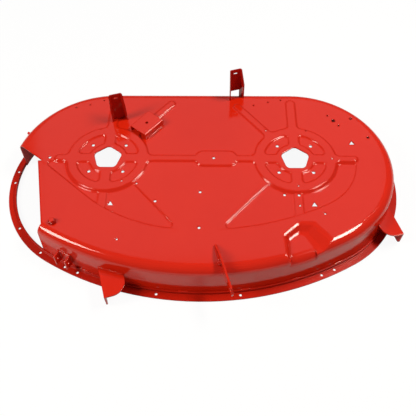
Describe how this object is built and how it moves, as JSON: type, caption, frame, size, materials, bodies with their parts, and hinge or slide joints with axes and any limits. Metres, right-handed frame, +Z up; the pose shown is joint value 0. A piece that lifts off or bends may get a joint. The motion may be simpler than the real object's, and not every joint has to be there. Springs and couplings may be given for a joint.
{
  "type": "lawn mower deck",
  "caption": "Bare pressed steel shell of a riding mower's cutting deck: embossed spindle pads, open side discharge, rim ring and welded hanger brackets.",
  "frame": {"origin": "Centre of the whole object's box in X and Y, at the underside of the rim ring in Z.", "axes": "+X along the line between the two spindles, away from the discharge opening; -Y towards the bowed front edge; +Z up, the way the shell sits on the tractor."},
  "size_m": [1.182, 0.742, 0.212],
  "materials": {
    "red_powder_coat": "gloss"
  },
  "bodies": {
    "root": {"deck_shell": "red_powder_coat", "rim_ring": "red_powder_coat", "rear_hanger_left": "red_powder_coat", "rear_hanger_right": "red_powder_coat", "front_hanger_bar": "red_powder_coat", "gauge_wheel_bracket_left": "red_powder_coat", "gauge_wheel_bracket_right": "red_powder_coat", "deflector_hinge_bracket": "red_powder_coat", "belt_keeper_bracket": "red_powder_coat", "corner_stud": "red_powder_coat", "side_peg": "red_powder_coat"}
  },
  "joints": []
}
